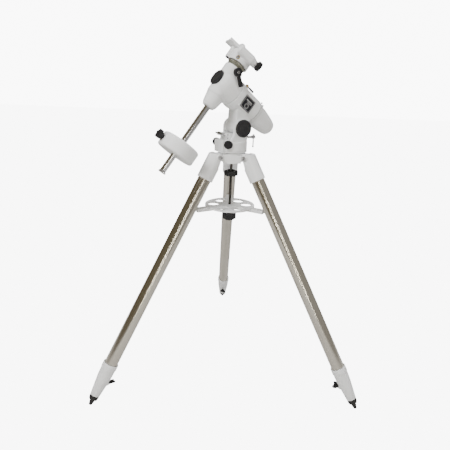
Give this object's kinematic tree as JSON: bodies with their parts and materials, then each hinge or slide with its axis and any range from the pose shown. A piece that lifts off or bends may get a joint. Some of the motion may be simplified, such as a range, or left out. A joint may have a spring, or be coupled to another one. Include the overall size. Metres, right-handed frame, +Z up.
{
  "type": "equatorial mount",
  "caption": "German equatorial telescope mount with slow-motion knobs, setting circles and a counterweight, on a folding tubular steel tripod with an accessory tray.",
  "frame": {"origin": "on the ground, at the middle of the assembly's bounding box, with the tripod's centre line 132 mm behind towards -Y", "axes": "+Z up; one leg points back along +Y and two forwards; the polar axis points to azimuth 208 degrees and is raised 38 degrees"},
  "size_m": [0.9224, 0.8038, 1.1877],
  "materials": {
    "white_paint": "satin, slightly textured",
    "stainless": "bright, drawn lengthways",
    "chrome": "polished",
    "black_plastic": "satin",
    "rubber": "matt",
    "brass": "machined",
    "dial": "anodised, engraved scale",
    "steel": "machined"
  },
  "bodies": {
    "stand": {"tripod_hub": "white_paint", "back_leg_hinge_bolt": "steel", "left_leg_hinge_bolt": "steel", "right_leg_hinge_bolt": "steel"},
    "tray": {"tray": "white_paint"},
    "tray_knob": {"tray_knob": "black_plastic"},
    "mount_bolt": {"mount_bolt": "black_plastic"},
    "back_leg": {"back_leg_socket": "white_paint", "back_leg_upper_tube": "stainless", "back_leg_clamp": "white_paint"},
    "back_lower_leg": {"back_leg_lower_tube": "stainless", "back_leg_foot": "rubber"},
    "back_clamp_knob": {"back_leg_clamp_knob": "black_plastic"},
    "left_leg": {"left_leg_socket": "white_paint", "left_leg_upper_tube": "stainless", "left_leg_clamp": "white_paint"},
    "left_lower_leg": {"left_leg_lower_tube": "stainless", "left_leg_foot": "rubber"},
    "left_clamp_knob": {"left_leg_clamp_knob": "black_plastic"},
    "right_leg": {"right_leg_socket": "white_paint", "right_leg_upper_tube": "stainless", "right_leg_clamp": "white_paint"},
    "right_lower_leg": {"right_leg_lower_tube": "stainless", "right_leg_foot": "rubber"},
    "right_clamp_knob": {"right_leg_clamp_knob": "black_plastic"},
    "azimuth": {"azimuth_base": "white_paint", "altitude_bolt": "steel", "altitude_nut": "steel", "altitude_cover": "black_plastic"},
    "azimuth_knob_near": {"azimuth_knob_near": "black_plastic"},
    "azimuth_knob_far": {"azimuth_knob_far": "black_plastic"},
    "polar": {"polar_housing": "white_paint", "nameplate": "black_plastic"},
    "front_altitude_bolt": {"front_altitude_bolt": "chrome"},
    "rear_altitude_bolt": {"rear_altitude_bolt": "chrome"},
    "rear_cap": {"polar_rear_cap": "white_paint"},
    "ra_circle": {"ra_setting_circle": "dial"},
    "ra_wheel": {"ra_worm_wheel": "brass"},
    "ra_slow": {"ra_worm": "steel", "ra_slow_knob": "black_plastic"},
    "ra_lock": {"ra_lock_stud": "brass", "ra_lock_lever": "black_plastic"},
    "ra_axis": {"dec_housing": "white_paint", "polar_shaft": "steel", "counterweight_bar": "chrome"},
    "front_cap": {"polar_front_cap": "black_plastic"},
    "dec_lock": {"dec_lock_lever": "black_plastic"},
    "bar_nut": {"bar_cone": "white_paint"},
    "counterweight": {"counterweight": "white_paint"},
    "counterweight_knob": {"counterweight_knob": "black_plastic"},
    "bar_end_screw": {"bar_end_screw": "chrome"},
    "dec_circle": {"dec_setting_circle": "dial"},
    "dec_axis": {"dec_head": "white_paint", "dec_shaft": "steel", "saddle": "white_paint"},
    "dec_wheel": {"dec_worm_wheel": "brass"},
    "dec_slow": {"dec_worm": "steel", "dec_slow_knob": "black_plastic"},
    "saddle_knob": {"saddle_knob": "white_paint"}
  },
  "joints": [
    {"name": "tray_drop", "type": "slide", "parent": "stand", "child": "tray", "axis": [0, 0, -1], "range_m": [0, 0.4]},
    {"name": "tray_knob_turn", "type": "hinge", "parent": "tray", "child": "tray_knob", "pos_m": [0, -0.132, 0.61], "axis": [0, 0, 1], "continuous": true},
    {"name": "mount_bolt_turn", "type": "hinge", "parent": "stand", "child": "mount_bolt", "pos_m": [0, -0.132, 0.76], "axis": [0, 0, 1], "continuous": true},
    {"name": "back_leg_fold", "type": "hinge", "parent": "stand", "child": "back_leg", "pos_m": [0, -0.0706, 0.82078], "axis": [-1, 0, 0], "range_deg": [0, 20]},
    {"name": "back_leg_extend", "type": "slide", "parent": "back_leg", "child": "back_lower_leg", "axis": [0, 0.4948, -0.869], "range_m": [0, 0.32]},
    {"name": "back_clamp_knob_turn", "type": "hinge", "parent": "back_leg", "child": "back_clamp_knob", "pos_m": [0, 0.31886, 0.06646], "axis": [0, -1, 0], "continuous": true},
    {"name": "left_leg_fold", "type": "hinge", "parent": "stand", "child": "left_leg", "pos_m": [-0.05317, -0.1627, 0.82078], "axis": [0.5, -0.866, 0], "range_deg": [0, 20]},
    {"name": "left_leg_extend", "type": "slide", "parent": "left_leg", "child": "left_lower_leg", "axis": [-0.4285, -0.2474, -0.869], "range_m": [0, 0.32]},
    {"name": "left_clamp_knob_turn", "type": "hinge", "parent": "left_leg", "child": "left_clamp_knob", "pos_m": [-0.39046, -0.35743, 0.06646], "axis": [0.866, 0.5, 0], "continuous": true},
    {"name": "right_leg_fold", "type": "hinge", "parent": "stand", "child": "right_leg", "pos_m": [0.05317, -0.1627, 0.82078], "axis": [0.5, 0.866, 0], "range_deg": [0, 20]},
    {"name": "right_leg_extend", "type": "slide", "parent": "right_leg", "child": "right_lower_leg", "axis": [0.4285, -0.2474, -0.869], "range_m": [0, 0.32]},
    {"name": "right_clamp_knob_turn", "type": "hinge", "parent": "right_leg", "child": "right_clamp_knob", "pos_m": [0.39046, -0.35743, 0.06646], "axis": [-0.866, 0.5, 0], "continuous": true},
    {"name": "azimuth_turn", "type": "hinge", "parent": "stand", "child": "azimuth", "pos_m": [0, -0.132, 0.83527], "axis": [0, 0, 1], "range_deg": [-6, 6]},
    {"name": "azimuth_screw_near", "type": "slide", "parent": "azimuth", "child": "azimuth_knob_near", "axis": [0.4695, -0.8829, 0], "range_m": [-0.0042, 0.0042]},
    {"name": "azimuth_screw_far", "type": "slide", "parent": "azimuth", "child": "azimuth_knob_far", "axis": [-0.4695, 0.8829, 0], "range_m": [-0.0042, 0.0042]},
    {"name": "altitude_tilt", "type": "hinge", "parent": "azimuth", "child": "polar", "pos_m": [0.01324, -0.12496, 0.91517], "axis": [-0.4695, 0.8829, 0], "range_deg": [-11.5, 8]},
    {"name": "front_altitude_screw", "type": "slide", "parent": "azimuth", "child": "front_altitude_bolt", "axis": [-0.8529, -0.4535, 0.2588], "range_m": [-0.0071, 0.005]},
    {"name": "rear_altitude_screw", "type": "slide", "parent": "azimuth", "child": "rear_altitude_bolt", "axis": [-0.8829, -0.4695, 0], "range_m": [-0.0075, 0.0053]},
    {"name": "rear_cap_pull", "type": "slide", "parent": "polar", "child": "rear_cap", "axis": [0.6958, 0.3699, -0.6157], "range_m": [0, 0.09]},
    {"name": "ra_circle_turn", "type": "hinge", "parent": "rear_cap", "child": "ra_circle", "pos_m": [-0.03558, -0.15092, 1.05051], "axis": [-0.6958, -0.3699, 0.6157], "continuous": true},
    {"name": "ra_wheel_turn", "type": "hinge", "parent": "polar", "child": "ra_wheel", "pos_m": [-0.03558, -0.15092, 1.05051], "axis": [-0.6958, -0.3699, 0.6157], "continuous": true},
    {"name": "ra_slow_turn", "type": "hinge", "parent": "polar", "child": "ra_slow", "pos_m": [0.04628, -0.10739, 1.01488], "axis": [-0.4695, 0.8829, 0], "continuous": true},
    {"name": "ra_lock_swing", "type": "hinge", "parent": "polar", "child": "ra_lock", "pos_m": [0.03897, -0.11128, 1.04164], "axis": [0.5436, 0.289, 0.788], "range_deg": [-60, 60]},
    {"name": "ra_turn", "type": "hinge", "parent": "polar", "child": "ra_axis", "pos_m": [-0.03558, -0.15092, 1.05051], "axis": [-0.6958, -0.3699, 0.6157], "continuous": true},
    {"name": "front_cap_pull", "type": "slide", "parent": "ra_axis", "child": "front_cap", "axis": [-0.6958, -0.3699, 0.6157], "range_m": [0, 0.03]},
    {"name": "dec_lock_swing", "type": "hinge", "parent": "ra_axis", "child": "dec_lock", "pos_m": [0.00766, -0.17323, 1.08597], "axis": [0.4695, -0.8829, 0], "range_deg": [0, 55]},
    {"name": "bar_nut_turn", "type": "hinge", "parent": "ra_axis", "child": "bar_nut", "pos_m": [-0.03558, -0.15092, 1.05051], "axis": [-0.5436, -0.289, -0.788], "continuous": true},
    {"name": "counterweight_slide", "type": "slide", "parent": "ra_axis", "child": "counterweight", "axis": [-0.5436, -0.289, -0.788], "range_m": [-0.137, 0.055]},
    {"name": "counterweight_knob_turn", "type": "hinge", "parent": "counterweight", "child": "counterweight_knob", "pos_m": [-0.17257, -0.22376, 0.85193], "axis": [-0.6958, -0.3699, 0.6157], "continuous": true},
    {"name": "bar_end_screw_turn", "type": "hinge", "parent": "ra_axis", "child": "bar_end_screw", "pos_m": [-0.21823, -0.24804, 0.78574], "axis": [-0.5436, -0.289, -0.788], "continuous": true},
    {"name": "dec_circle_turn", "type": "hinge", "parent": "ra_axis", "child": "dec_circle", "pos_m": [-0.03558, -0.15092, 1.05051], "axis": [0.5436, 0.289, 0.788], "continuous": true},
    {"name": "dec_turn", "type": "hinge", "parent": "ra_axis", "child": "dec_axis", "pos_m": [-0.03558, -0.15092, 1.05051], "axis": [0.5436, 0.289, 0.788], "continuous": true},
    {"name": "dec_wheel_turn", "type": "hinge", "parent": "dec_axis", "child": "dec_wheel", "pos_m": [-0.03558, -0.15092, 1.05051], "axis": [0.5436, 0.289, 0.788], "continuous": true},
    {"name": "dec_slow_turn", "type": "hinge", "parent": "dec_axis", "child": "dec_slow", "pos_m": [0.03232, -0.15581, 1.13681], "axis": [0.7782, 0.1783, -0.6022], "continuous": true},
    {"name": "saddle_knob_turn", "type": "hinge", "parent": "dec_axis", "child": "saddle_knob", "pos_m": [0.01637, -0.08099, 1.16326], "axis": [-0.3146, 0.9406, -0.128], "continuous": true}
  ],
  "couplings": [
    {"joint": "back_leg_fold", "follows": "tray_drop", "rad_per_m": 0.8725},
    {"joint": "left_leg_fold", "follows": "tray_drop", "rad_per_m": 0.8725},
    {"joint": "right_leg_fold", "follows": "tray_drop", "rad_per_m": 0.8725},
    {"joint": "azimuth_screw_near", "follows": "azimuth_turn", "m_per_rad": -0.038},
    {"joint": "azimuth_screw_far", "follows": "azimuth_turn", "m_per_rad": 0.038},
    {"joint": "front_altitude_screw", "follows": "altitude_tilt", "m_per_rad": 0.035},
    {"joint": "rear_altitude_screw", "follows": "altitude_tilt", "m_per_rad": 0.037}
  ]
}
